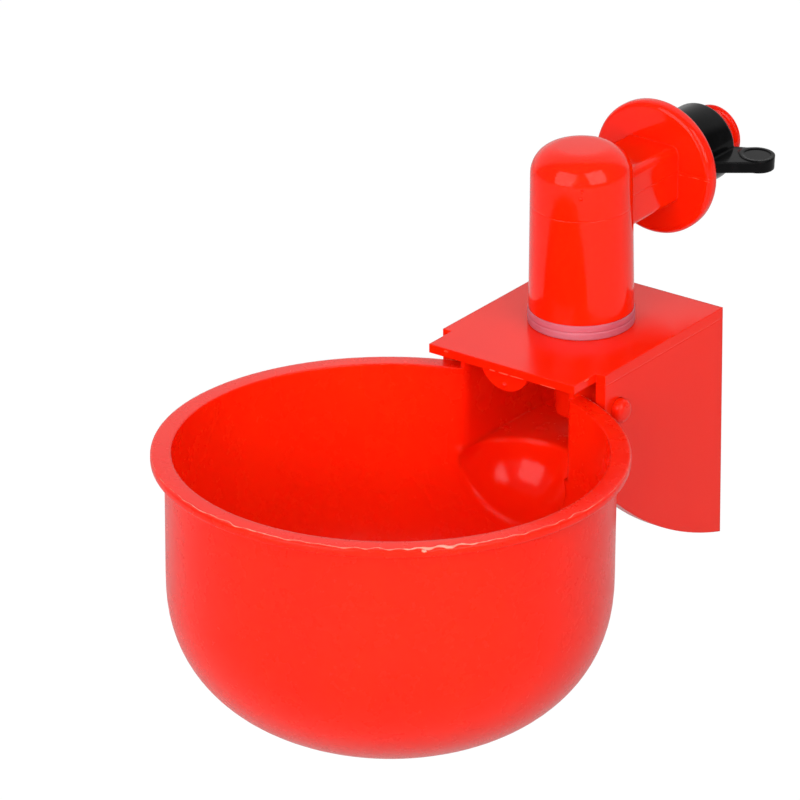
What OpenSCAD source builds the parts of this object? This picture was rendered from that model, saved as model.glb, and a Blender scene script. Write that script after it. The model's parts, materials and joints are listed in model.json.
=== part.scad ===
// Automatic poultry drinking cup: a bowl that hangs on two pins in a bracket, under a water elbow
// that is clamped through a wall by its threaded stub and a wing nut. Sizes are in millimetres.
// Origin: centre of the flange's wall side face. +Y runs out along the stub, +Z is up.

/* [Bowl] */
// Outer diameter of the flat rim
rim_d = 80; // [70:1:100]
// How far the rim stands out beyond the bowl's side
rim_overhang = 2.35; // [1:0.05:4]
// Thickness of the rim
rim_t = 1.5; // [1:0.1:2.5]
// Thickness of the bowl's side, pocket and trough walls
wall = 1.1; // [0.9:0.1:2]
// Thickness of the bowl's bottom
floor_t = 1.4; // [1:0.1:2.5]
// Outer depth of the bowl below the top of its rim
bowl_depth = 50; // [44:1:60]
// Depth of the straight side, before the bottom turns in
side_depth = 22; // [20:1:28]
// Squareness of the turn into the bottom, where 2 is an ellipse
bottom_power = 2.35; // [2:0.05:3]

/* [Pocket and trough] */
// Radius of the round pocket in the bowl's back wall
pocket_r = 11.5; // [9:0.25:12]
// Depth of the ledge behind the pocket, below the top of the rim
ledge_depth = 15; // [13:0.5:18]
// How far the trough reaches behind the water nozzle's axis
trough_back = 8.5; // [7.5:0.5:10]
// Height of the trough's low rear wall above its floor
trough_wall = 6; // [4:0.5:7]
// Thickness of the trough's floor
trough_floor = 1.6; // [1.2:0.1:2]
// Rounding of the upright edges where the pocket opens into the bowl
mouth_r = 3; // [2:0.1:3.4]
// Length of the ears that carry the pivot pins
ear_l = 9.5; // [9:0.5:11]

/* [Bracket] */
// Width of the top plate, over the cheeks
plate_w = 34.1; // [33:0.1:40]
// Thickness of the top plate
plate_t = 1.6; // [1.2:0.1:2.4]
// Distance from the elbow's axis to the plate's front edge
plate_front = 17.1; // [16.5:0.1:20]
// Distance from the elbow's axis to the plate's back edge
plate_back = 18.4; // [17:0.1:26]
// Width of the narrower front lip
lip_w = 30.4; // [24:0.1:32]
// How far the lip stands out in front of the plate
lip_l = 6.5; // [4:0.1:8]
// Thickness of each cheek
cheek_t = 2; // [1.6:0.1:2.4]
// Height of the cheeks at their front edge
cheek_front_h = 21.9; // [18:0.1:26]
// Height of the cheeks at their back edge
cheek_back_h = 43.1; // [38:0.1:50]
// Radius of the cheeks' curved lower edge
cheek_arc_r = 86; // [60:1:140]
// Radius of the half round tab under the lip
tab_r = 5.2; // [4:0.1:6]
// How far the tab hangs below the lip
tab_drop = 3.6; // [2:0.1:4]
// Thickness of the tab
tab_t = 1.5; // [1:0.1:2]
// How far the tab stands back from the lip's front edge
tab_setback = 1; // [0.5:0.1:2]

/* [Pivot] */
// Distance from the elbow's axis forward to the pivot
pivot_front = 13.2; // [12:0.1:14]
// Depth of the pivot below the top of the plate
pivot_drop = 7.7; // [7:0.1:9]
// Depth of the pivot below the top of the rim
pivot_below_rim = 2.6; // [2.2:0.1:4]
// Distance from the bowl's axis back to the pivot
pivot_reach = 41.7; // [41.5:0.1:44]
// Diameter of the pivot pins
pin_d = 4.2; // [3:0.1:4.4]
// How far the domed pin ends stand out of the cheeks
pin_proud = 1.7; // [1:0.1:3]
// Radial running clearance of the pins in the cheeks
pin_gap = 0.08; // [0.05:0.01:0.1]
// Angle by which the empty bowl rests front side up
rest_tilt = 1.5; // [0:0.1:2]
// Gap between the ears and the plate, the stop of the empty bowl
ear_gap = 0.4; // [0.3:0.05:0.6]

/* [Elbow] */
// Diameter of the elbow's upright body at its foot
elbow_d = 18.3; // [17:0.1:22]
// Diameter of the upright body at the shoulder of its domed top
elbow_top_d = 17.6; // [16.5:0.1:20]
// Height of the elbow's top above the plate
elbow_h = 32.3; // [31:0.1:40]
// Radius of the rounded shoulder of the elbow's top
dome_r = 5; // [3:0.1:7]
// Height of the arm's axis above the plate
axis_height = 21.1; // [19:0.1:23]
// Distance from the elbow's axis to the flange's wall side face
reach = 24; // [22:0.1:40]
// Width of the arm
arm_w = 11.2; // [10:0.1:13]
// Height of the arm
arm_h = 10.6; // [10:0.1:13]
// Rounding of the arm's long edges
arm_edge_r = 1.5; // [0.5:0.1:3]
// Diameter of the round flange
flange_d = 24.3; // [22:0.1:30]
// Thickness of the flange
flange_t = 3; // [2:0.1:4]
// Rounding of the flange's edge
flange_edge_r = 1.1; // [0.4:0.1:1.4]
// Diameter of the threaded spigot that the elbow is screwed onto
spigot_d = 12.4; // [11:0.1:13]
// Height of the spigot above the plate
spigot_h = 11; // [8:0.5:12]
// Clearance round the spigot in the elbow and its gasket
spigot_gap = 0.1; // [0.05:0.01:0.2]
// Thickness of the gasket under the elbow
gasket_t = 2.7; // [2:0.1:3.5]
// How far the gasket stands out beyond the elbow's foot
gasket_proud = 0.15; // [0.1:0.05:0.6]

/* [Stub and nut] */
// Outer diameter of the threaded stub
stub_d = 10.8; // [10:0.1:12]
// Length of the stub beyond the flange
stub_l = 17.2; // [16:0.1:24]
// Diameter of the water bore through the stub and arm
bore_d = 6.4; // [5:0.1:7]
// Pitch of the stub's thread
thread_pitch = 1.8; // [1.5:0.05:2]
// Depth of the stub's thread
thread_depth = 0.8; // [0.4:0.05:0.9]
// Thickness of the washer between flange and nut
washer_t = 2.3; // [1.5:0.1:3]
// Outer diameter of the washer
washer_d = 17; // [16:0.1:20]
// Radial running clearance of the washer and nut on the stub
nut_gap = 0.05; // [0.03:0.01:0.1]
// Diameter of the nut's hub
hub_d = 15.2; // [14.5:0.1:18]
// Length of the nut's hub
hub_l = 10.3; // [9:0.1:12]
// Distance from the nut's axis to the centre of each finger disc
wing_reach = 11.8; // [11:0.1:16]
// Radius of the finger discs
wing_disc_r = 3.5; // [2.5:0.1:4]
// Thickness of the wings
wing_t = 2.7; // [2:0.1:3]
// Angle of the tightened nut's wings below the horizontal
wing_angle = 5; // [0:1:90]

/* [Valve] */
// Outer diameter of the water nozzle under the plate
nozzle_d = 7; // [6.6:0.1:7.4]
// Outer diameter of the skirt that hangs round the seal
skirt_d = 9; // [8.8:0.1:9.6]
// Diameter of the hole in the nozzle
jet_d = 4.2; // [3.8:0.1:4.6]
// Depth of the nozzle's mouth below the top of the plate
nozzle_drop = 12; // [9:0.1:13]
// Diameter of the valve stem's shaft
stem_d = 2.6; // [2:0.1:3]
// Diameter of the stem's collar and rubber seal
seal_d = 5.8; // [5.4:0.1:6.2]
// Thickness of the rubber seal
seal_t = 1.6; // [1.2:0.1:2]
// Thickness of the stem's collar under the seal
collar_t = 1.2; // [0.8:0.1:1.6]
// Open gap between the seal and the nozzle while the bowl is empty
valve_gap = 1.4; // [1.3:0.05:1.8]
// Length of the arms of the stem's cross shaped head
head_d = 9.6; // [8.8:0.1:10]
// Thickness of the head
head_t = 1.4; // [1:0.1:2]
// Clearance of the stem's two ends, over the spigot and over the trough's floor
stem_gap = 0.3; // [0.2:0.05:0.4]
// Diameter of the spring's wire
wire_d = 0.8; // [0.6:0.05:1]
// Mean diameter of the spring's coils
coil_d = 8; // [7:0.1:9]
// Number of turns of the spring
coil_turns = 6; // [4:1:8]

/* [Hidden] */
$fn = 96;

// The bowl, in its own frame: the origin is on its axis, in the top plane of its rim.
rim_r = rim_d / 2;
body_r = rim_r - rim_overhang;
inner_r = body_r - wall;
rim_edge_r = 0.4;
// The pocket is centred where a circle of its radius meets the bowl's inner wall square on.
pocket_y = sqrt(inner_r * inner_r - pocket_r * pocket_r);
trough_r = pocket_r + wall;
nozzle_y = pivot_reach + pivot_front;
trough_end = nozzle_y + trough_back;
ear_top = pivot_drop - plate_t - ear_gap - pivot_below_rim;
ear_back = pivot_reach + ear_l / 2;
trough_top = trough_wall - ledge_depth;
bottom_steps = 28;
pin_dome = 1;
pin_steps = 6;
mouth_steps = 8;
mouth_lap = 0.03;

// The bracket, in the elbow's frame: the origin is on the elbow's axis, at the top of the plate.
inner_w = plate_w - 2 * cheek_t;
pivot_y = -pivot_front;
pivot_z = -pivot_drop;
tab_z = tab_r - tab_drop - plate_t;
bead_r = 0.45;
// The lower edge of a cheek is an arc through its two corners.
arc_from = [-plate_front, -cheek_front_h];
arc_to = [plate_back, -cheek_back_h];
arc_mid = (arc_from + arc_to) / 2;
arc_run = arc_to - arc_from;
arc_half = norm(arc_run) / 2;
arc_rise = sqrt(cheek_arc_r * cheek_arc_r - arc_half * arc_half);
arc_centre = arc_mid + arc_rise / (2 * arc_half) * [-arc_run[1], arc_run[0]];

// The elbow's water way
chamber_r = spigot_d / 2 + spigot_gap;
chamber_top = axis_height + bore_d / 2 + 1.2;

// The nut
nut_hole_r = stub_d / 2 + nut_gap;
hub_edge_r = 0.6;
disc_rim = 0.2;
root_r = hub_d / 2 - 0.9;

// The valve, in the elbow's frame
shelf_drop = ledge_depth - pivot_below_rim;
shelf_z = pivot_z - shelf_drop - pivot_front * sin(rest_tilt);
stem_foot = shelf_z + stem_gap;
seal_top = -nozzle_drop - valve_gap;
collar_z = seal_top - seal_t - collar_t;
head_z = spigot_h + stem_gap;
spring_gap = 0.15;
spring_bottom = head_z + head_t + spring_gap;
spring_top = chamber_top - spring_gap;
ring_steps = 16;
wire_sides = 8;
skirt_t = 0.8;
skirt_z = collar_z - 0.8;

// A point of a quarter circle: u turns from 0 to 90 degrees round a centre.
function arc_point(c, r, u) = [c[0] + r * cos(u), c[1] + r * sin(u)];

// One point of the bowl's bottom: a superellipse from the end of the straight side to the lowest point.
function bottom_point(r, top, depth, u) =
    [r * pow(cos(u), 2 / bottom_power), -top - (depth - top) * pow(sin(u), 2 / bottom_power)];

// The bowl's section from its axis out to radius r, closed at height z.
module bowl_section(r, depth, z) {
    polygon(concat(
        [[0, z], [r, z]],
        [for (i = [0:bottom_steps - 1]) bottom_point(r, side_depth, depth, 90 * i / bottom_steps)],
        [[0, -depth]]
    ));
}

// A flat ring's section with rounded outer corners.
module ring_section(r_in, r_out, z_low, z_high, edge) {
    corner = 6;
    polygon(concat(
        [[r_in, z_low]],
        [for (i = [0:corner]) arc_point([r_out - edge, z_low + edge], edge, -90 + 90 * i / corner)],
        [for (i = [0:corner]) arc_point([r_out - edge, z_high - edge], edge, 90 * i / corner)],
        [[r_in, z_high]]
    ));
}

// Moves a shape from the elbow's frame to the part's frame.
module at_elbow() {
    translate([0, -reach, -axis_height]) children();
}

// Hangs the bowl on its pivot, a little front side up.
module at_cup() {
    at_elbow()
        translate([0, pivot_y, pivot_z])
            rotate([-rest_tilt, 0, 0])
                translate([0, -pivot_reach, pivot_below_rim])
                    children();
}

// Turns a shape drawn along +Z to run out along the stub.
module along_stub() {
    rotate([-90, 0, 0]) children();
}

// The plan of one rounded corner between the pocket's side and the bowl's wall, for the two faces that
// stand d into the material: an arc of short flats whose ends reach a little past both faces.
module mouth_corner(d) {
    c = [pocket_r + mouth_r, sqrt(pow(inner_r + mouth_r, 2) - pow(pocket_r + mouth_r, 2))];
    side_x = pocket_r + d;
    wall_r = inner_r + d;
    to_axis = -c / norm(c);
    from_a = 180;
    to_a = 360 + atan2(to_axis[1], to_axis[0]);
    step = (to_a - from_a) / mouth_steps;
    polygon(concat(
        [arc_point(c, mouth_r - d, from_a) + [-mouth_lap, 0]],
        [for (i = [1:mouth_steps - 1]) arc_point(c, mouth_r - d, from_a + step * i)],
        [arc_point(c, mouth_r - d, to_a) + mouth_lap * to_axis],
        [[side_x - wall / 2, sqrt(wall_r * wall_r - side_x * side_x) - wall / 2]]
    ));
}

// A mouth corner on each side, from the ledge up to height z.
module mouth_corners(d, low, z) {
    for (side = [0, 1])
        mirror([side, 0, 0])
            translate([0, 0, low]) linear_extrude(z - low) mouth_corner(d);
}

// The side view of the trough and its ears: y runs back, z up.
module trough_side(low) {
    ear_front = inner_r - rim_overhang;
    polygon([
        [ear_front, low],
        [trough_end + wall, low],
        [trough_end + wall, trough_top],
        [ear_back + ear_top - trough_top, trough_top],
        [ear_back, ear_top],
        [pocket_y + 0.6, ear_top],
        [pocket_y + 0.6, 0],
        [ear_front, 0]
    ]);
}

// A slab of the trough's side view, w wide.
module trough_slab(w, low) {
    translate([-w / 2, 0, 0])
        rotate([90, 0, 90])
            linear_extrude(w) trough_side(low);
}

module cup() {
    color("red") at_cup() {
        difference() {
            union() {
                rotate_extrude() bowl_section(body_r, bowl_depth, 0);
                rotate_extrude() ring_section(body_r - wall, rim_r, -rim_t, 0, rim_edge_r);
                translate([0, pocket_y, -ledge_depth]) sphere(trough_r);
                trough_slab(2 * trough_r, -ledge_depth - trough_floor);
                mouth_corners(wall, -ledge_depth - trough_floor, -rim_t / 2);
            }
            mouth_corners(0, -ledge_depth, 1);
            rotate_extrude() bowl_section(inner_r, bowl_depth - floor_t, 1);
            translate([0, pocket_y, -ledge_depth]) sphere(pocket_r);
            translate([-pocket_r, pocket_y - 1, -ledge_depth])
                cube([2 * pocket_r, trough_end - pocket_y + 1, ledge_depth + ear_top + 1]);
            translate([-pocket_r, inner_r - rim_overhang - 1, 0.01])
                cube([2 * pocket_r, rim_overhang + 2, ear_top + 1]);
        }
        for (side = [-1, 1]) pivot_pin(side);
    }
}

// A pin with a domed end, from the trough's wall out through a cheek.
module pivot_pin(side) {
    pin_r = pin_d / 2;
    length = plate_w / 2 + pin_proud - pocket_r;
    dome = [pin_r - pin_dome, length - pin_dome];
    translate([side * pocket_r, pivot_reach, -pivot_below_rim])
        rotate([0, side * 90, 0])
            rotate_extrude()
                polygon(concat(
                    [[0, 0.2], [pin_r, 0.2]],
                    [for (i = [0:pin_steps]) arc_point(dome, pin_dome, 90 * i / pin_steps)],
                    [[0, length]]
                ));
}

// The stem hangs in the nozzle: its head rests over the spigot and its foot stands on the trough's floor.
module valve_stem() {
    color("white") at_elbow() {
        translate([0, 0, stem_foot + stem_d / 2])
            cylinder(d = stem_d, h = head_z + head_t - stem_foot - stem_d / 2);
        translate([0, 0, stem_foot + stem_d / 2]) sphere(d = stem_d);
        translate([0, 0, collar_z]) cylinder(d = seal_d, h = collar_t);
        for (turn = [0, 90])
            rotate([0, 0, turn])
                translate([-head_d / 2, -stem_d / 2, head_z])
                    cube([head_d, stem_d, head_t]);
    }
}

module valve_seal() {
    color("dimgray") at_elbow() translate([0, 0, collar_z + collar_t]) difference() {
        cylinder(d = seal_d, h = seal_t);
        translate([0, 0, -1]) cylinder(d = stem_d, h = seal_t + 2);
    }
}

// One ring of wire of the spring, at turn t from 0 to coil_turns.
function coil_ring(t) =
    let (
        a = 360 * t,
        rise = spring_bottom + wire_d / 2 + (spring_top - spring_bottom - wire_d) * t / coil_turns,
        out = [cos(a), sin(a), 0]
    )
    [for (i = [0:wire_sides - 1])
        let (u = 360 * i / wire_sides)
        out * (coil_d / 2 + wire_d / 2 * cos(u)) + [0, 0, rise + wire_d / 2 * sin(u)]];

module valve_spring() {
    rings = coil_turns * ring_steps;
    points = [for (k = [0:rings]) each coil_ring(k / ring_steps)];
    sides = [for (k = [0:rings - 1], i = [0:wire_sides - 1])
        let (j = (i + 1) % wire_sides, a = k * wire_sides, b = a + wire_sides)
        [a + i, b + i, b + j, a + j]];
    first = [for (i = [0:wire_sides - 1]) i];
    last = [for (i = [wire_sides - 1:-1:0]) rings * wire_sides + i];
    color("silver") at_elbow() polyhedron(points, concat(sides, [first, last]), convexity = 8);
}

// The side view of a cheek: y runs back, z up.
module cheek_side() {
    intersection() {
        translate([-plate_front, -cheek_back_h])
            square([plate_front + plate_back, cheek_back_h]);
        translate(arc_centre) circle(cheek_arc_r, $fn = 360);
    }
}

module cheek(side) {
    difference() {
        translate([side < 0 ? -plate_w / 2 : plate_w / 2 - cheek_t, 0, 0])
            rotate([90, 0, 90])
                linear_extrude(cheek_t) cheek_side();
        translate([side * (inner_w / 2 - 1), pivot_y, pivot_z])
            rotate([0, side * 90, 0])
                cylinder(r = pin_d / 2 + pin_gap, h = cheek_t + 2);
    }
}

// The half round tab that hangs under the lip, with the bead where it was moulded.
module lip_tab() {
    front = -plate_front - lip_l + tab_setback;
    intersection() {
        translate([0, front + tab_t, tab_z])
            rotate([90, 0, 0])
                cylinder(r = tab_r, h = tab_t);
        translate([-tab_r, front - 1, -plate_t - tab_drop - 1])
            cube([2 * tab_r, tab_t + 2, tab_drop + 1.5]);
    }
    translate([0, front, -plate_t - tab_drop + 2.5 * bead_r]) sphere(bead_r, $fn = 24);
}

module bracket() {
    color("red") at_elbow() difference() {
        union() {
            translate([-plate_w / 2, -plate_front, -plate_t])
                cube([plate_w, plate_front + plate_back, plate_t]);
            translate([-lip_w / 2, -plate_front - lip_l, -plate_t])
                cube([lip_w, lip_l + 1, plate_t]);
            for (side = [-1, 1]) cheek(side);
            lip_tab();
            translate([0, 0, -plate_t / 2]) cylinder(d = spigot_d, h = spigot_h + plate_t / 2);
            translate([0, 0, -nozzle_drop]) cylinder(d = nozzle_d, h = nozzle_drop);
            translate([0, 0, skirt_z]) cylinder(d = skirt_d, h = -nozzle_drop + skirt_t - skirt_z);
        }
        translate([0, 0, skirt_z - 1])
            cylinder(d = skirt_d - 2 * skirt_t, h = -nozzle_drop - skirt_z + 1);
        translate([0, 0, -plate_t]) cylinder(d = bore_d, h = spigot_h + plate_t + 1);
        translate([0, 0, -nozzle_drop - 1]) cylinder(d = jet_d, h = nozzle_drop + 1);
    }
}

// The elbow's upright body with its rounded top.
module upright() {
    foot = gasket_t;
    shoulder = elbow_h - dome_r;
    corner = 12;
    rotate_extrude()
        polygon(concat(
            [[0, foot], [elbow_d / 2, foot]],
            [for (i = [0:corner]) arc_point([elbow_top_d / 2 - dome_r, shoulder], dome_r, 90 * i / corner)],
            [[0, elbow_h]]
        ));
}

// The arm's square section with rounded corners.
module arm_section() {
    square([arm_w - 2 * arm_edge_r, arm_h], center = true);
    square([arm_w, arm_h - 2 * arm_edge_r], center = true);
    for (x = [-1, 1], y = [-1, 1])
        translate([x * (arm_w / 2 - arm_edge_r), y * (arm_h / 2 - arm_edge_r)])
            circle(arm_edge_r, $fn = 32);
}

// The threaded stub's section: the thread is a row of V grooves with flat crests between them.
module stub_section() {
    r = stub_d / 2;
    root = r - thread_depth;
    turns = floor((stub_l - 1) / thread_pitch);
    start = stub_l - 0.6 - turns * thread_pitch;
    polygon(concat(
        [[0, -flange_t / 2], [r, -flange_t / 2], [r, start]],
        [for (i = [0:turns - 1]) each [
            [r, start + i * thread_pitch + 0.5],
            [root, start + (i + 0.5) * thread_pitch + 0.1],
            [root, start + (i + 0.5) * thread_pitch + 0.4],
            [r, start + (i + 1) * thread_pitch]
        ]],
        [[r, stub_l - 0.5], [r - 0.5, stub_l], [0, stub_l]]
    ));
}

module elbow() {
    color("red") difference() {
        union() {
            at_elbow() upright();
            translate([0, -reach, 0])
                along_stub() linear_extrude(reach - flange_t / 2) arm_section();
            along_stub() rotate_extrude()
                ring_section(0, flange_d / 2, -flange_t, 0, flange_edge_r);
            along_stub() rotate_extrude() stub_section();
        }
        at_elbow() translate([0, 0, gasket_t - 1])
            cylinder(r = chamber_r, h = chamber_top - gasket_t + 1);
        translate([0, -reach, 0])
            along_stub() cylinder(d = bore_d, h = reach + stub_l + 1);
    }
}

module elbow_gasket() {
    color("mistyrose") at_elbow() difference() {
        cylinder(r = elbow_d / 2 + gasket_proud, h = gasket_t);
        translate([0, 0, -1]) cylinder(r = chamber_r, h = gasket_t + 2);
    }
}

module stub_washer() {
    color("mistyrose") along_stub() difference() {
        rotate_extrude() ring_section(0, washer_d / 2, 0, washer_t, 0.4);
        translate([0, 0, -1]) cylinder(r = nut_hole_r, h = washer_t + 2);
    }
}

// One wing's outline: x runs out from the nut's axis, y along it from the hub's front face.
module wing_outline() {
    hull() {
        translate([root_r, 0.8]) square([0.5, hub_l - 1.6]);
        translate([wing_reach + 1.1, hub_l * 0.68]) circle(0.8, $fn = 24);
        translate([wing_reach, hub_l - 0.5]) circle(wing_disc_r, $fn = 32);
    }
}

module wing_nut() {
    color("black") rotate([0, wing_angle, 0]) translate([0, washer_t, 0]) along_stub() difference() {
        union() {
            rotate_extrude() ring_section(0, hub_d / 2, 0, hub_l, hub_edge_r);
            for (turn = [0, 180])
                rotate([0, 0, turn]) {
                    translate([0, wing_t / 2, 0])
                        rotate([90, 0, 0]) linear_extrude(wing_t) wing_outline();
                    translate([wing_reach, wing_t / 2 + disc_rim, hub_l - 0.5])
                        rotate([90, 0, 0]) finger_ring();
                }
        }
        translate([0, 0, -1]) cylinder(r = nut_hole_r, h = hub_l + 2);
        translate([0, 0, hub_l - 0.6]) cylinder(r = nut_hole_r + 0.7, h = 2);
    }
}

// The raised edge round a finger disc, standing out of both faces of the wing.
module finger_ring() {
    difference() {
        cylinder(r = wing_disc_r, h = wing_t + 2 * disc_rim, $fn = 48);
        translate([0, 0, -1]) cylinder(r = wing_disc_r - 0.7, h = disc_rim + 1, $fn = 48);
        translate([0, 0, wing_t + disc_rim]) cylinder(r = wing_disc_r - 0.7, h = disc_rim + 1, $fn = 48);
    }
}

cup();
valve_stem();
valve_seal();
valve_spring();
bracket();
elbow();
elbow_gasket();
stub_washer();
wing_nut();
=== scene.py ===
import bpy
import bmesh
import json
import math
import numpy as np
from mathutils import Matrix, Vector

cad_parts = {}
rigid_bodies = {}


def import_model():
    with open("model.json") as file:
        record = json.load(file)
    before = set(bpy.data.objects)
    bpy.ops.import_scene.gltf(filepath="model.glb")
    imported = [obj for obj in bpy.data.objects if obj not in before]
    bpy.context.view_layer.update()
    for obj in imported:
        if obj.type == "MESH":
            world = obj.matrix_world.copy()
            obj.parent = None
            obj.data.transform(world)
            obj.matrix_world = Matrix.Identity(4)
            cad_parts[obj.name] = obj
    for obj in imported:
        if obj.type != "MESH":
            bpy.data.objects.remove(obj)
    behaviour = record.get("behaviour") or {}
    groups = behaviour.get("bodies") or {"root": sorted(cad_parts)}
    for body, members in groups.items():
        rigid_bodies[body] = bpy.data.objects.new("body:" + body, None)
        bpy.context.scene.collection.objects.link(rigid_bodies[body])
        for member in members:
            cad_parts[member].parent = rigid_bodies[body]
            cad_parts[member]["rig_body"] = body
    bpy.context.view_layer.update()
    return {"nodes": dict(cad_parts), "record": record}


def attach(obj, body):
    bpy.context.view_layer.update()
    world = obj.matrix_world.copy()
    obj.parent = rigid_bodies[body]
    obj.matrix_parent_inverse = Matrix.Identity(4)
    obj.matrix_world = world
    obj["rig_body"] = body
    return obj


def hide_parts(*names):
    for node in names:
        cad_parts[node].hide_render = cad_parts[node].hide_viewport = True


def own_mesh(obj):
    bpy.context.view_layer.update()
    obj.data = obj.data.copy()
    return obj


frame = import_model()
nodes = frame["nodes"]
scene = bpy.context.scene
print("frame loaded:", len(nodes), "nodes")

# Sizes here are in millimetres and are turned to metres as a mesh is written.
mm = 0.001

# Places in the part's frame that several pieces share.
places = {
    "elbowAxis": (0.0, -24.0),        # x and y of the upright's axis
    "plateTop": -21.1,                # z of the plate's upper face
    "pivot": (0.0, -37.2, -28.8),     # centre of the pins' axis
    "restTilt": math.radians(1.5),    # the empty bowl rests this much front side up
    "bowlFromPivot": (0.0, -41.7, 2.6),
}


# camera
camera = {
    "place": (0.534977, -0.783082, 0.387469),
    "right": (0.800393, 0.599374, -0.011025),
    "up": (-0.240804, 0.338298, 0.909708),
    "back": (0.548985, -0.725469, 0.415103),
    "lens": 264.309,
    "sensor": 36.0,
    "near": 0.05,
    "far": 20.0,
}


def addCamera(c):
    data = bpy.data.cameras.new("photoCamera")
    data.lens, data.sensor_width = c["lens"], c["sensor"]
    data.clip_start, data.clip_end = c["near"], c["far"]
    obj = bpy.data.objects.new("photoCamera", data)
    turn = Matrix((c["right"], c["up"], c["back"])).transposed().to_4x4()   # columns are right, up, back
    obj.matrix_world = Matrix.Translation(c["place"]) @ turn
    scene.collection.objects.link(obj)
    scene.camera = obj


addCamera(camera)
print("camera set")


# shader nodes
class Graph:
    # A short way to build a node tree: add a node, set its sockets, join others to it.
    def __init__(self, tree):
        self.tree = tree
        self.tree.nodes.clear()

    def add(self, kind, settings=None, **sockets):
        node = self.tree.nodes.new(kind)
        for key, value in (settings or {}).items():
            setattr(node, key, value)
        self.set(node, **sockets)
        return node

    def set(self, node, **sockets):
        # A key is a socket's name with _ for a space, or _ and the socket's number.
        for key, value in sockets.items():
            socket = node.inputs[int(key[1:])] if key[1:].isdigit() else node.inputs[key.replace("_", " ")]
            if isinstance(value, bpy.types.NodeSocket):
                self.tree.links.new(value, socket)
            else:
                socket.default_value = value

    def math(self, operation, a, b):
        return self.add("ShaderNodeMath", {"operation": operation}, _0=a, _1=b).outputs[0]

    def ramp(self, fac, low, high, a, b):
        # Carries fac from low..high to a..b.
        return self.add("ShaderNodeMapRange", Value=fac, From_Min=low, From_Max=high, To_Min=a,
                        To_Max=b).outputs[0]


class Finish(Graph):
    # The nodes of a material that ends in one Principled shader.
    def __init__(self, name):
        self.mat = bpy.data.materials.new(name)
        self.mat.use_nodes = True
        super().__init__(self.mat.node_tree)
        self.shader = self.add("ShaderNodeBsdfPrincipled")
        self.out = self.add("ShaderNodeOutputMaterial", Surface=self.shader.outputs[0])

    def place(self):
        return self.add("ShaderNodeTexCoord").outputs["Object"]

    def noise(self, scale, detail=4.0, rough=0.55, stretch=(1, 1, 1)):
        place = self.add("ShaderNodeMapping", Vector=self.place(), Scale=stretch)
        return self.add("ShaderNodeTexNoise", Vector=place.outputs[0], Scale=scale, Detail=detail,
                        Roughness=rough).outputs["Fac"]

    def mixColour(self, fac, a, b):
        # The mix node's sockets 6 and 7 are its two colours.
        a, b = (v if isinstance(v, bpy.types.NodeSocket) else (*v, 1) for v in (a, b))
        return self.add("ShaderNodeMix", {"data_type": "RGBA"}, _0=fac, _6=a, _7=b).outputs[2]

    def softEdge(self, radius):
        return self.add("ShaderNodeBevel", {"samples": 6}, Radius=radius).outputs[0]

    def bump(self, height, strength, distance, normal=None):
        node = self.add("ShaderNodeBump", Height=height, Strength=strength, Distance=distance)
        if normal is not None:
            self.set(node, Normal=normal)
        return node.outputs[0]

    def scatter(self, f):
        self.shader.inputs["Subsurface Weight"].default_value = f["scatter"]
        self.shader.inputs["Subsurface Scale"].default_value = f["scatterDeep"]
        self.shader.inputs["Subsurface Radius"].default_value = f["scatterColour"]


print("node classes set")


# light
lampTarget = Vector((0.0, -0.04, -0.02))
lamps = {
    "leftBox": {"azimuth": -5.0, "elevation": 24.0, "distance": 1.5, "size": (1.20, 1.40), "watts": 12.5},
    "rightBox": {"azimuth": 74.0, "elevation": 31.0, "distance": 1.5, "size": (1.05, 1.35), "watts": 12.3},
    "topBox": {"azimuth": 160.0, "elevation": 74.0, "distance": 1.6, "size": (1.9, 1.9), "watts": 2.5,
               "mirrored": False},    # fill from above, not shown in gloss
    "lowBox": {"azimuth": 24.0, "elevation": 17.0, "distance": 1.4, "size": (0.9, 0.6), "watts": 11.0,
               "mirrored": False},    # low fill that reaches into the niche
}
world = {"colour": (1.0, 1.0, 1.0), "front": 0.38, "behind": 0.52, "towards": (-0.55, 0.73, 0.40),
         "edge": (0.46, 0.62), "seen": 1.0, "mirrored": 0.85, "frontInGloss": 0.5}


def addLamp(name, lamp):
    # Azimuth 0 is in front of the bowl, on -Y, and grows towards +X.
    az, el = math.radians(lamp["azimuth"]), math.radians(lamp["elevation"])
    away = Vector((math.sin(az) * math.cos(el), -math.cos(az) * math.cos(el), math.sin(el)))
    data = bpy.data.lights.new(name, "AREA")
    data.shape = "RECTANGLE"
    data.size, data.size_y = lamp["size"]
    data.energy = lamp["watts"]
    obj = bpy.data.objects.new(name, data)
    obj.location = lampTarget + away * lamp["distance"]
    obj.rotation_euler = away.to_track_quat("Z", "Y").to_euler()
    obj.visible_glossy = lamp.get("mirrored", True)
    scene.collection.objects.link(obj)


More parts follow.
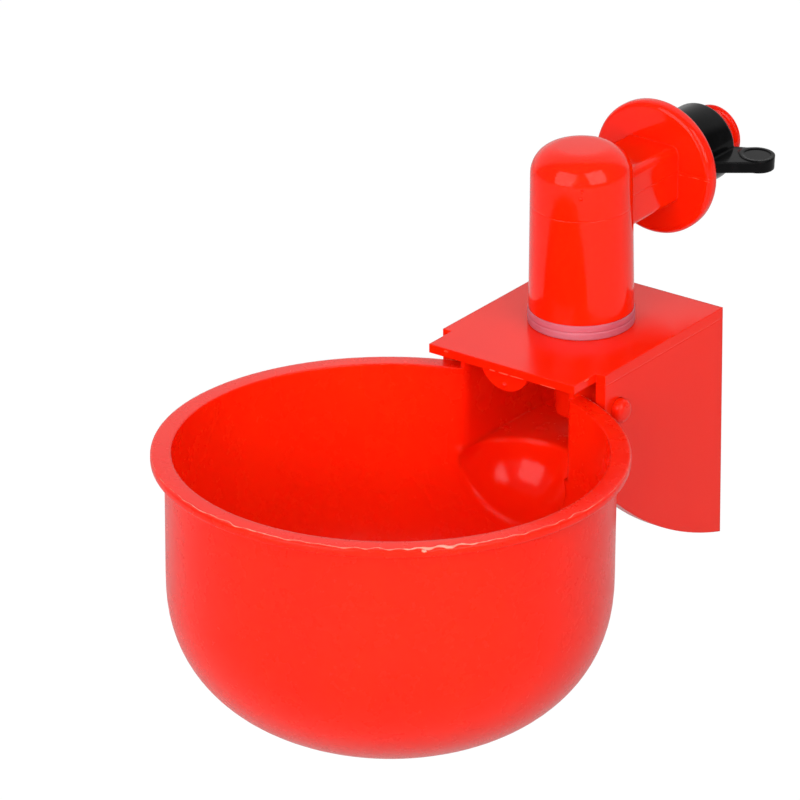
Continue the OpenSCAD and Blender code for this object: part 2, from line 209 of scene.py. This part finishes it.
def addWorld(w):
    # White to the camera and in glass, a softer white as light on the part. Gloss shows the white backdrop where it
    # hangs, behind the part, and the dimmer room in front of it.
    data = bpy.data.worlds.new("studio")
    scene.world = data
    data.use_nodes = True
    g = Graph(data.node_tree)
    path = g.add("ShaderNodeLightPath")
    gloss = path.outputs["Is Glossy Ray"]
    direct = g.math("MAXIMUM", path.outputs["Is Camera Ray"], path.outputs["Is Transmission Ray"])
    coords = g.add("ShaderNodeTexCoord")
    side = g.add("ShaderNodeVectorMath", {"operation": "DOT_PRODUCT"}, _0=coords.outputs["Generated"],
                 _1=w["towards"]).outputs["Value"]
    seen = g.math("MAXIMUM", direct, g.math("MULTIPLY", gloss, g.ramp(side, *w["edge"], 0.0, w["mirrored"])))
    level = g.ramp(side, *w["edge"], w["front"], w["behind"])
    strength = g.math("MULTIPLY", level, g.ramp(gloss, 0.0, 1.0, 1.0, w["frontInGloss"]))
    glow = g.add("ShaderNodeBackground", Color=(*w["colour"], 1), Strength=strength)
    white = g.add("ShaderNodeBackground", Color=(*w["colour"], 1), Strength=w["seen"])
    mix = g.add("ShaderNodeMixShader", _0=seen, _1=glow.outputs[0], _2=white.outputs[0])
    g.add("ShaderNodeOutputWorld", _0=mix.outputs[0])


for lampName, lampValues in lamps.items():
    addLamp(lampName, lampValues)
addWorld(world)
scene.view_settings.view_transform = "Standard"
print("lamps and world set")


# finishes
redFinish = {
    "base": (0.960, 0.0170, 0.0010),    # body of the moulding
    "deep": (0.870, 0.0100, 0.0008),    # slow streaks where the melt ran
    "dust": (0.930, 0.1100, 0.0800),    # pale specks and rubs
    "streaks": (22.0, 0.35, 0.68),      # noise scale, then where the streaks start and end
    "specks": (900.0, 0.74, 0.82),
    "speckShare": 0.03,
    "roughness": (0.07, 0.15),
    "softEdge": 0.00030,                # in metres, as all lengths in a finish
    "ripple": 0.006,
    "rippleDeep": 0.0006,
    "scuff": 0.002,
    "scuffDeep": 0.0001,
    "seamLine": (0.00006, 0.00018),     # half width where it is deepest, and where it ends
    "seam": 0.45,
    "seamDeep": 0.00008,
    "gloss": 0.25,
    "scatter": 0.30,
    "scatterDeep": 0.004,
    "scatterColour": (1.0, 0.06, 0.03),
}


def makeRed(f, name="redPlastic"):
    # "seamAt" in f is the height of a fine moulding line all round the piece. "polishedAt" is a point: nearer
    # than "polishedTo" the surface is smooth, past "dullFrom" it is rougher by "dull".
    n = Finish(name)
    flow = n.noise(f["streaks"][0], 3.0, 0.5, (1, 1, 0.35))
    specks = n.ramp(n.noise(f["specks"][0], 2.0, 0.6), *f["specks"][1:], 0.0, f["speckShare"])
    colour = n.mixColour(n.ramp(flow, *f["streaks"][1:], 0.0, 1.0), f["deep"], f["base"])
    colour = n.mixColour(specks, colour, f["dust"])
    rough = n.ramp(n.noise(160.0, 5.0, 0.6), 0.3, 0.7, *f["roughness"])
    edge = f["softEdge"]
    if "polishedAt" in f:
        far = n.add("ShaderNodeVectorMath", {"operation": "DISTANCE"}, _0=n.place(),
                    _1=f["polishedAt"]).outputs["Value"]
        edge = n.ramp(far, f["dullFrom"], f["dullFrom"] + f["edgeFade"], f["pocketEdge"], f["softEdge"])
        rough = n.math("ADD", rough, n.ramp(far, f["polishedTo"], f["dullFrom"], 0.0, f["dull"]))
    ripple = n.bump(n.noise(75.0, 3.0, 0.5), f["ripple"], f["rippleDeep"], n.softEdge(edge))
    relief = n.bump(n.noise(650.0, 4.0, 0.7, (1, 1, 0.2)), f["scuff"], f["scuffDeep"], ripple)
    if "seamAt" in f:
        height = n.add("ShaderNodeSeparateXYZ", Vector=n.place()).outputs["Z"]
        away = n.math("ABSOLUTE", n.math("SUBTRACT", height, f["seamAt"]), 0.0)
        relief = n.bump(n.ramp(away, *f["seamLine"], 0.0, 1.0), f["seam"], f["seamDeep"], relief)
    n.set(n.shader, Base_Color=colour, Roughness=rough, Normal=relief, IOR=1.5)
    n.shader.inputs["Specular IOR Level"].default_value = f["gloss"]
    n.scatter(f)
    return n.mat


blackFinish = {"base": (0.0015, 0.0015, 0.0017), "worn": (0.004, 0.004, 0.0045), "roughness": (0.09, 0.17),
               "softEdge": 0.0006, "gloss": 0.09}


def makeBlack(f):
    n = Finish("blackPlastic")
    grain = n.noise(420.0, 5.0, 0.65)
    n.set(n.shader, Base_Color=n.mixColour(n.ramp(grain, 0.45, 0.75, 0.0, 1.0), f["base"], f["worn"]),
          Roughness=n.ramp(n.noise(130.0, 4.0, 0.6), 0.3, 0.7, *f["roughness"]),
          Normal=n.bump(grain, 0.05, 0.0002, n.softEdge(f["softEdge"])), IOR=1.5)
    n.shader.inputs["Specular IOR Level"].default_value = f["gloss"]
    return n.mat


siliconeFinish = {"base": (0.82, 0.15, 0.21), "cloud": (0.87, 0.24, 0.31), "roughness": (0.38, 0.52),
                  "softEdge": 0.0003, "clear": 0.45, "scatter": 0.35, "scatterDeep": 0.003,
                  "scatterColour": (1.0, 0.6, 0.6)}


def makeSilicone(f):
    n = Finish("clearSilicone")
    cloud = n.noise(140.0, 4.0, 0.6)
    n.set(n.shader, Base_Color=n.mixColour(n.ramp(cloud, 0.35, 0.7, 0.0, 1.0), f["base"], f["cloud"]),
          Roughness=n.ramp(cloud, 0.3, 0.7, *f["roughness"]),
          Normal=n.bump(n.noise(500.0, 3.0, 0.6), 0.06, 0.0002, n.softEdge(f["softEdge"])), IOR=1.41)
    n.shader.inputs["Transmission Weight"].default_value = f["clear"]
    n.scatter(f)
    return n.mat


whiteFinish = {"base": (0.80, 0.80, 0.77), "shade": (0.70, 0.70, 0.67), "roughness": (0.38, 0.55), "ior": 1.5}
rubberFinish = {"base": (0.022, 0.022, 0.023), "shade": (0.045, 0.044, 0.043), "roughness": (0.60, 0.80),
                "ior": 1.52}


def makePlain(name, f):
    n = Finish(name)
    grain = n.noise(380.0, 5.0, 0.6)
    n.set(n.shader, Base_Color=n.mixColour(n.ramp(grain, 0.35, 0.7, 0.0, 1.0), f["base"], f["shade"]),
          Roughness=n.ramp(grain, 0.3, 0.7, *f["roughness"]),
          Normal=n.bump(grain, 0.08, 0.0002, n.softEdge(0.0002)), IOR=f["ior"])
    return n.mat


steelFinish = {"base": (0.66, 0.66, 0.65), "shade": (0.50, 0.50, 0.49), "roughness": (0.20, 0.36)}


def makeSteel(f):
    n = Finish("springSteel")
    draw = n.noise(700.0, 4.0, 0.6, (1, 1, 0.3))
    n.set(n.shader, Base_Color=n.mixColour(n.ramp(draw, 0.35, 0.7, 0.0, 1.0), f["base"], f["shade"]),
          Roughness=n.ramp(draw, 0.3, 0.7, *f["roughness"]),
          Normal=n.bump(draw, 0.06, 0.0001))
    n.shader.inputs["Metallic"].default_value = 1.0
    return n.mat


finishes = {
    "red_plastic": makeRed(redFinish),
    "black_plastic": makeBlack(blackFinish),
    "clear_rubber": makeSilicone(siliconeFinish),
    "white_plastic": makePlain("whitePlastic", whiteFinish),
    "dark_rubber": makePlain("sealRubber", rubberFinish),
    "spring_steel": makeSteel(steelFinish),
}
print("finishes made:", len(finishes))


# carried-over solids
slotOf = {part["node"]: part["material_slot"] for part in frame["record"]["subparts"]}


joinGap = 2e-6    # in metres: corners nearer than this are one


def smoothCopy(nodeName, pieceName, angle):
    # The solid's own triangles, joined where they meet, with soft normals below the given angle.
    mesh = nodes[nodeName].data.copy()
    mesh.name = pieceName
    bm = bmesh.new()
    bm.from_mesh(mesh)
    bmesh.ops.remove_doubles(bm, verts=bm.verts, dist=joinGap)
    bm.to_mesh(mesh)
    bm.free()
    if mesh.has_custom_normals:
        mesh.attributes.remove(mesh.attributes["custom_normal"])
    mesh.polygons.foreach_set("use_smooth", np.ones(len(mesh.polygons), dtype=bool))
    mesh.set_sharp_from_angle(angle=math.radians(angle))
    mesh.materials.clear()
    mesh.materials.append(finishes[slotOf[nodeName]])
    obj = bpy.data.objects.new(pieceName, mesh)
    scene.collection.objects.link(obj)
    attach(obj, nodes[nodeName]["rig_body"])
    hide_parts(nodeName)
    return obj


smoothPieces = {
    "cup": ("drinkingBowl", 28), "bracket": ("hangingBracket", 28), "elbow": ("waterElbow", 28),
    "stub_washer": ("stubWasher", 30), "wing_nut": ("wingNut", 28),
    "valve_stem": ("valveStem", 30), "valve_seal": ("valveSeal", 30), "valve_spring": ("valveSpring", 60),
}
pieces = {}
for nodeName, (pieceName, angle) in smoothPieces.items():
    pieces[nodeName] = smoothCopy(nodeName, pieceName, angle)
# The upright and the bracket are the same red plastic as the bowl. They get a darker copy of its red so that they
# come out less bright under the lamps: painted shade.
elbowShadedRed = dict(redFinish, base=(0.900, 0.0150, 0.0010), deep=(0.830, 0.0095, 0.0008), seamAt=0.0008)
pieces["elbow"].data.materials[0] = makeRed(elbowShadedRed, "redElbow")
bracketShadedRed = dict(elbowShadedRed, roughness=(0.15, 0.26), seamAt=-0.0231)    # where the cheeks meet the plate
pieces["bracket"].data.materials[0] = makeRed(bracketShadedRed, "redBracket")
bowlFinish = dict(redFinish, softEdge=0.0005, pocketEdge=0.0017, polishedAt=(0.0, -0.04453, -0.04101),
                  polishedTo=0.0118, dullFrom=0.0135, dull=0.16, edgeFade=0.004)
pieces["cup"].data.materials[0] = makeRed(bowlFinish, "redBowl")
print("solids dressed:", len(smoothPieces))


def readPoints(mesh):
    co = np.empty(len(mesh.vertices) * 3)
    mesh.vertices.foreach_get("co", co)
    return co.reshape(-1, 3) / mm


def writePoints(mesh, points):
    mesh.vertices.foreach_set("co", (points * mm).ravel())
    mesh.update()


nutTrim = {"turn": math.radians(2.0), "front": 2.3, "tilt": math.radians(5.0),
           "hubFrom": 5.9, "hubTo": 7.6, "hubLess": 0.45, "rootFrom": 6.0, "rootFade": 1.2, "wingHalf": 1.9,
           "wingFrom": 7.2, "wingTo": 9.2, "thin": 0.74,
           "disc": (11.8, 9.8), "discTo": (12.1, 9.7), "discShrink": 0.886}


def trimNut(mesh, t):
    # Slims the nut as one smooth map of its points, taken about its axis with the wings level. The hub's radius
    # shrinks by a step that fades in over its outer part. Past the wing's root the thickness is scaled, and the
    # wing's plan is scaled about its finger disc's centre and moved to the centre's new place.
    p = readPoints(mesh)
    c, s = math.cos(t["tilt"]), math.sin(t["tilt"])
    x, y, z = c * p[:, 0] - s * p[:, 2], p[:, 1] - t["front"], s * p[:, 0] + c * p[:, 2]
    r, side = np.hypot(x, z), np.sign(x)
    wing = np.clip((np.abs(x) - t["wingFrom"]) / (t["wingTo"] - t["wingFrom"]), 0, 1)
    wing = wing * wing * (3 - 2 * wing)
    hub = np.clip((r - t["hubFrom"]) / (t["hubTo"] - t["hubFrom"]), 0, 1)
    hub = hub * t["hubLess"] / np.maximum(r, 1e-6)
    x, z = x * (1 - hub * (1 - wing)), z * (1 - hub * (1 - wing))
    onWing = np.clip((np.abs(x) - t["rootFrom"]) / t["rootFade"], 0, 1) * (np.abs(z) < t["wingHalf"])
    z = z * (1 - (1 - t["thin"]) * np.maximum(wing, onWing))
    out = t["discTo"][0] + (np.abs(x) - t["disc"][0]) * t["discShrink"]
    along = t["discTo"][1] + (y - t["disc"][1]) * t["discShrink"]
    x, y = side * (np.abs(x) * (1 - wing) + out * wing), y * (1 - wing) + along * wing
    c, s = math.cos(t["tilt"] - t["turn"]), math.sin(t["tilt"] - t["turn"])
    writePoints(mesh, np.stack([c * x + s * z, y + t["front"], -s * x + c * z], 1))


trimNut(pieces["wing_nut"].data, nutTrim)
print("nut slimmed")


# new surfaces
def addMesh(name, points, faces, material):
    # points in millimetres, one row each; all faces are smooth.
    mesh = bpy.data.meshes.new(name)
    mesh.from_pydata((points * mm).tolist(), [], faces.tolist())
    mesh.polygons.foreach_set("use_smooth", np.ones(len(mesh.polygons), dtype=bool))
    mesh.materials.append(material)
    obj = bpy.data.objects.new(name, mesh)
    scene.collection.objects.link(obj)
    return obj


def gridMesh(name, points, slot, closedU=False, material=None):
    # points is an array (rows, columns, 3) in millimetres. Each cell of the grid is one face. The columns
    # always close up round the piece, and the rows do where closedU says so.
    rows, cols = points.shape[:2]
    index = np.arange(rows * cols).reshape(rows, cols)
    a = index if closedU else index[:-1]
    b = np.roll(index, -1, 0) if closedU else index[1:]
    quads = np.stack([a, b, np.roll(b, -1, 1), np.roll(a, -1, 1)], -1)
    return addMesh(name, points.reshape(-1, 3), quads.reshape(-1, 4), material or finishes[slot])


poleGap = 1e-7    # in metres: the points of a closed pole lie nearer than this


def faceOutwards(obj):
    # Makes each pole one point and turns all faces outwards.
    bm = bmesh.new()
    bm.from_mesh(obj.data)
    bmesh.ops.remove_doubles(bm, verts=bm.verts, dist=poleGap)
    bmesh.ops.recalc_face_normals(bm, faces=bm.faces)
    bm.to_mesh(obj.data)
    bm.free()


def capEnds(obj):
    bm = bmesh.new()
    bm.from_mesh(obj.data)
    bmesh.ops.holes_fill(bm, edges=[e for e in bm.edges if e.is_boundary])
    bmesh.ops.recalc_face_normals(bm, faces=bm.faces)
    bm.to_mesh(obj.data)
    bm.free()


def fromCup(points):
    # The bowl's own frame to the part's: shifted to the pivot, turned by the rest tilt, then moved to its place.
    p = points + np.array(places["bowlFromPivot"])
    c, s = math.cos(places["restTilt"]), math.sin(places["restTilt"])
    turned = np.stack([p[..., 0], c * p[..., 1] + s * p[..., 2], -s * p[..., 1] + c * p[..., 2]], -1)
    return turned + np.array(places["pivot"])


def toCup(points):
    # The way back: from the part's frame to the bowl's own.
    p = points - np.array(places["pivot"])
    c, s = math.cos(places["restTilt"]), math.sin(places["restTilt"])
    turned = np.stack([p[..., 0], c * p[..., 1] - s * p[..., 2], s * p[..., 1] + c * p[..., 2]], -1)
    return turned - np.array(places["bowlFromPivot"])


mouthTrim = {"less": 0.9, "x": (8.0, 11.4, 15.2, 20.0), "y": (30.0, 33.5, 37.2, 41.0), "z": (-17.0, -15.0)}


def narrowMouth(mesh, t):
    # Brings the two upright corners of the niche closer: each point turns about the bowl's axis, so that the
    # bowl's wall slides along itself, by an arc that is full at the corners and fades out along x, y and z.
    x, y, z = toCup(readPoints(mesh)).T
    band = (0, 1, 1, 0)
    share = np.interp(np.abs(x), t["x"], band) * np.interp(y, t["y"], band) * np.interp(z, t["z"], (0, 1))
    turn = np.sign(x) * share * t["less"] / np.maximum(np.hypot(x, y), 1.0)
    c, s = np.cos(turn), np.sin(turn)
    writePoints(mesh, fromCup(np.stack([c * x - s * y, s * x + c * y, z], 1)))


narrowMouth(pieces["cup"].data, mouthTrim)
print("niche narrowed")


def wander(angle, seed, waves, count=22):
    # A repeatable rough line round a circle: sines of many whole wave counts, each with its own phase, summed.
    rng = np.random.default_rng(seed)
    counts = rng.integers(waves[0], waves[1], count)
    sizes = rng.uniform(0.3, 1.0, count) / np.sqrt(counts)
    phases = rng.uniform(0, 2 * np.pi, count)
    line = (np.sin(angle[:, None] * counts + phases) * sizes).sum(1)
    return line / np.abs(line).max()


def wander01(angle, seed, waves):
    return 0.5 + 0.5 * wander(angle, seed, waves)


rimFlash = {
    "radius": 40.0, "out": 0.13, "up": 0.12, "sides": 1800, "ring": 8, "sink": 0.10, "seed": 11,
    "waves": (5, 90), "fineWaves": (60, 260), "driftWaves": (16, 80),
    "least": 0.35, "more": 1.25, "limits": (0.05, 1.3),    # size of the oval's half widths, as shares
    "middle": (0.4, 0.35),                                 # the oval's centre, outwards and up, as shares
    "drift": 1.05, "front": math.radians(300), "spread": math.radians(62), "fade": 0.14, "weak": 0.12,
    "torn": math.radians(318.5), "tornHalf": math.radians(6.5), "tornMore": 1.8, "tornRough": 0.4,
}
flashFinish = dict(redFinish, base=(0.96, 0.34, 0.27), deep=(0.94, 0.20, 0.14), dust=(0.98, 0.60, 0.52),
                   roughness=(0.30, 0.50), softEdge=0.00005, ripple=0.02)
burrFinish = dict(flashFinish, base=(0.96, 0.12, 0.07), deep=(0.94, 0.05, 0.02), dust=(0.97, 0.30, 0.22))


def addRimFlash(f):
    # A thin lip of flash on the rim's top, near its outer edge: a small oval carried round the circle. Its half
    # sizes follow a rough line, so that it fades and swells, and so does its distance from the edge. It is
    # strongest round "front", and swollen by a bell shape round "torn".
    angle = np.linspace(0, 2 * np.pi, f["sides"], endpoint=False)
    rough = wander01(angle, f["seed"], f["waves"])
    fine = wander01(angle, f["seed"] + 1, f["fineWaves"])
    off = np.abs(np.mod(angle - f["front"] + np.pi, 2 * np.pi) - np.pi)
    strong = f["weak"] + (1 - f["weak"]) / (1 + np.exp((off - f["spread"]) / f["fade"]))
    torn = np.exp(-((angle - f["torn"]) / f["tornHalf"]) ** 2)
    size = np.clip(f["least"] + f["more"] * rough * fine, *f["limits"]) * strong
    size = (size * (1 + f["tornMore"] * torn * (f["tornRough"] + fine)))[:, None]
    turn = np.linspace(0, 2 * np.pi, f["ring"], endpoint=False)[None]
    inward = f["drift"] * wander01(angle, f["seed"] + 2, f["driftWaves"]) * strong
    radius = f["radius"] - f["sink"] - inward[:, None] + f["out"] * size * (f["middle"][0] + np.cos(turn))
    z = -f["sink"] * 0.5 + f["up"] * size * (f["middle"][1] + np.sin(turn))
    points = np.stack([radius * np.cos(angle)[:, None], radius * np.sin(angle)[:, None], z], -1)
    obj = gridMesh("rimFlash", fromCup(points), "red_plastic", True, makeRed(flashFinish, "redFlash"))
    faceOutwards(obj)
    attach(obj, "cup")


addRimFlash(rimFlash)
print("rim flash laid")


burrs = {
    # centre in mm in the part's frame, then half sizes in mm along x, y and z
    "root": [
        ((-11.6, -47.6, -21.6), (0.42, 0.12, 0.16)), ((-1.9, -47.6, -22.6), (0.70, 0.12, 0.12)),
        ((0.4, -47.6, -22.6), (1.10, 0.14, 0.14)), ((3.2, -47.6, -22.6), (1.30, 0.10, 0.09)),
        ((9.8, -47.6, -22.6), (1.50, 0.08, 0.08)), ((13.4, -41.1, -22.5), (0.32, 0.16, 0.30)),
        ((14.2, -41.1, -22.0), (0.30, 0.16, 0.42)), ((15.2, -44.0, -21.3), (0.12, 0.70, 0.14)),
    ],
    "cup": [((0.0, 0.0, 0.0), (0.55, 0.28, 0.22))],
    "gate": [((5.20, -31.25, 6.35), (0.36, 0.20, 0.26)), ((5.05, -31.32, 5.0), (0.30, 0.18, 0.30))],
}
rimBurrAt = {"radius": 40.0, "angle": math.radians(314.5), "z": -0.2}
burrSides, burrRows = 16, 9


def blobs(items, seed):
    # Each burr is a ball of half sizes (a, b, c): its surface at longitude u and latitude v, pushed in and
    # out by a sum of low waves of u and v. All burrs come back as one list of grids.
    rng = np.random.default_rng(seed)
    u = np.linspace(0, 2 * np.pi, burrSides, endpoint=False)[None]
    v = np.linspace(-np.pi / 2, np.pi / 2, burrRows)[:, None]
    grids = []
    for centre, half in items:
        p = rng.uniform(0, 2 * np.pi, 3)
        swell = (1 + 0.16 * np.sin(2 * u + p[0]) * np.cos(v) + 0.14 * np.sin(3 * u + p[1]) * np.cos(v) ** 2
                 + 0.10 * np.sin(5 * v + p[2]) * np.cos(v))
        ball = np.stack([np.cos(u) * np.cos(v), np.sin(u) * np.cos(v), np.sin(v) + 0 * u], -1) * swell[..., None]
        grids.append(np.array(centre) + ball * np.array(half))
    return grids


def addBurrs(name, grids, body, material="redFlash"):
    # One mesh from many grids, each closed round u.
    rows, cols = grids[0].shape[:2]
    index = np.arange(rows * cols).reshape(rows, cols)
    a, b = index[:-1], index[1:]
    quads = np.stack([a, b, np.roll(b, -1, 1), np.roll(a, -1, 1)], -1).reshape(-1, 4)
    faces = np.concatenate([quads + k * rows * cols for k in range(len(grids))])
    points = np.concatenate([g.reshape(-1, 3) for g in grids])
    obj = addMesh(name, points, faces, bpy.data.materials[material])
    faceOutwards(obj)
    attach(obj, body)


makeRed(burrFinish, "redBurr")
rimBurr = np.array([rimBurrAt["radius"] * math.cos(rimBurrAt["angle"]),
                    rimBurrAt["radius"] * math.sin(rimBurrAt["angle"]), rimBurrAt["z"]])
addBurrs("mouldBurrs", blobs(burrs["root"], 3), "root", "redBurr")
addBurrs("rimBurr", [fromCup(g + rimBurr) for g in blobs(burrs["cup"], 5)], "cup")
addBurrs("gateMarks", blobs(burrs["gate"], 7), "root", "redPlastic")
print("burrs set:", sum(map(len, burrs.values())))


flangeLine = {"face": -3.0, "from": 5.9, "to": 12.25, "half": 0.075, "out": 0.07, "steps": 120,
              "seed": 21, "height": 0.25, "sway": 0.08, "end": 0.02, "proud": 0.02}


def addFlangeLines(f):
    # The mould's parting line on the flange's front face: a low half round ridge carried straight out
    # from the arm along x, whose height follows a rough line. One on each side of the arm.
    x = np.linspace(f["from"], f["to"], f["steps"])
    turn = np.linspace(0, 2 * np.pi, 8, endpoint=False)
    for side, name in ((1, "flangeLineRight"), (-1, "flangeLineLeft")):
        size = np.clip(0.45 + 0.75 * wander(x / 2.0, f["seed"] + side, (3, 60)), 0.1, 1.2)
        size[[0, -1]] = f["end"]
        z = (f["height"] + f["sway"] * wander(x / 3.0, f["seed"] + 4, (2, 9)))[:, None]
        points = np.stack([side * x[:, None] + 0 * turn[None],
                           f["face"] + f["proud"] - f["out"] * size[:, None] * np.sin(turn)[None],
                           z + f["half"] * size[:, None] * np.cos(turn)[None]], -1)
        obj = gridMesh(name, points, "red_plastic", False, bpy.data.materials["redBurr"])
        capEnds(obj)
        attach(obj, "root")


addFlangeLines(flangeLine)
print("parting lines on the flange")


gasketRing = {"axis": places["elbowAxis"], "bottom": places["plateTop"], "height": 2.7, "inner": 6.3,
              "outer": 9.3, "edge": 0.25, "groove": 0.16, "grooveHalf": 0.22, "grooveAt": 0.52,
              "sides": 160, "cornerSteps": 5, "sideSteps": 31, "sharp": 40}


def addGasket(g):
    # A closed section turned round the upright's axis: flat bottom, rounded outer corners, and a shallow
    # groove of cosine shape half way up its outer side.
    corner = np.linspace(0, np.pi / 2, g["cornerSteps"])
    r, z, e = g["outer"], g["bottom"], g["edge"]
    low = np.stack([r - e + e * np.sin(corner), z + e - e * np.cos(corner)], 1)
    up = np.linspace(z + e, z + g["height"] - e, g["sideSteps"])[1:-1]
    dip = np.clip(np.abs(up - (z + g["height"] * g["grooveAt"])) / g["grooveHalf"], 0, 1)
    side = np.stack([r - g["groove"] * (0.5 + 0.5 * np.cos(np.pi * dip)), up], 1)
    high = np.stack([r - e + e * np.cos(corner), z + g["height"] - e + e * np.sin(corner)], 1)
    ends = np.array([[g["inner"], z + g["height"]], [g["inner"], z]])
    section = np.concatenate([low, side, high, ends])
    a = np.linspace(0, 2 * np.pi, g["sides"], endpoint=False)[None]
    points = np.stack([g["axis"][0] + section[:, :1] * np.cos(a), g["axis"][1] + section[:, :1] * np.sin(a),
                       section[:, 1:] + 0 * a], -1)
    obj = gridMesh("elbowGasketRing", points, "clear_rubber", True)
    faceOutwards(obj)
    obj.data.set_sharp_from_angle(angle=math.radians(g["sharp"]))
    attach(obj, "root")
    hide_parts("elbow_gasket")


addGasket(gasketRing)
print("gasket turned")


stubThread = {"radius": 5.4, "depth": 0.8, "pitch": 1.8, "from": 0.0, "to": 16.7, "fade": 1.1,
              "sides": 96, "steps": 260, "skin": 0.06, "crest": 1.25, "slope": 3.4}


def addStubThread(t):
    # Takes the plain grooved rings off the elbow's stub and puts one helical groove there. At angle a and
    # distance y the groove's depth follows the fraction of y / pitch - a / turn, and fades at both ends.
    mesh = pieces["elbow"].data
    bm = bmesh.new()
    bm.from_mesh(mesh)
    low, high, inner = t["from"] * mm - 1e-6, (t["to"] + 0.02) * mm, (t["radius"] - t["depth"] - t["skin"]) * mm
    gone = [face for face in bm.faces
            if all(low <= v.co.y <= high and inner <= math.hypot(v.co.x, v.co.z) <= t["radius"] * mm + 2e-5
                   for v in face.verts)]
    bmesh.ops.delete(bm, geom=gone, context="FACES")
    bm.to_mesh(mesh)
    bm.free()
    a = np.linspace(0, 2 * np.pi, t["sides"], endpoint=False)[None]
    y = np.linspace(t["from"], t["to"], t["steps"])[:, None]
    phase = np.mod(y / t["pitch"] - a / (2 * np.pi), 1.0)
    groove = np.clip(t["crest"] - np.abs(phase - 0.5) * t["slope"], 0, 1)
    fade = np.clip(np.minimum(y - t["from"], t["to"] - y) / t["fade"], 0, 1)
    r = t["radius"] - t["depth"] * groove * fade
    points = np.stack([r * np.cos(a), y + 0 * a, r * np.sin(a)], -1)
    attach(gridMesh("stubThread", points, "red_plastic"), "root")
    return len(gone)


print("thread cut, faces taken off:", addStubThread(stubThread))



springSqueeze = {"top": 4.5, "travel": 1.16}    # z of the end that stays, and how far the stem rises


def squeezeSpring(obj, t):
    # The spring is squeezed against the elbow's roof as the stem rises. Here it only gets its own copy of its mesh,
    # and its length from the end that stays at "top" down to its lowest point comes back.
    length = t["top"] - float(readPoints(obj.data)[:, 2].min())
    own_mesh(obj)
    return length


print("spring follows the stem, mm long:", round(squeezeSpring(pieces["valve_spring"], springSqueeze), 2))


# floor
floor = {"z": -0.19, "half": 2.5, "colour": (0.42, 0.42, 0.42), "roughness": 0.9, "shadow": 0.12,
         "mirrored": 0.35, "glow": 1.10}


def addFloor(f):
    h, z = f["half"], f["z"]
    mesh = bpy.data.meshes.new("studioFloor")
    mesh.from_pydata([(-h, -h, z), (h, -h, z), (h, h, z), (-h, h, z)], [], [(0, 1, 2, 3)])
    obj = bpy.data.objects.new("studioFloor", mesh)
    scene.collection.objects.link(obj)
    n = Finish("paleFloor")
    n.set(n.shader, Base_Color=(*f["colour"], 1), Roughness=f["roughness"])
    # White to the camera, in gloss and in glass, but for a share of the real floor, which keeps the part's shadow.
    path = n.add("ShaderNodeLightPath")
    seen = n.math("MAXIMUM", path.outputs["Is Camera Ray"], path.outputs["Is Transmission Ray"])
    seen = n.math("MAXIMUM", seen, n.ramp(path.outputs["Is Glossy Ray"], 0.0, 1.0, 0.0, f["mirrored"]))
    glow = n.add("ShaderNodeEmission", Color=(1, 1, 1, 1), Strength=f["glow"])
    mix = n.add("ShaderNodeMixShader", _0=n.ramp(seen, 0.0, 1.0, 0.0, 1.0 - f["shadow"]),
                _1=n.shader.outputs[0], _2=glow.outputs[0])
    n.set(n.out, Surface=mix.outputs[0])
    mesh.materials.append(n.mat)


addFloor(floor)
print("floor laid")
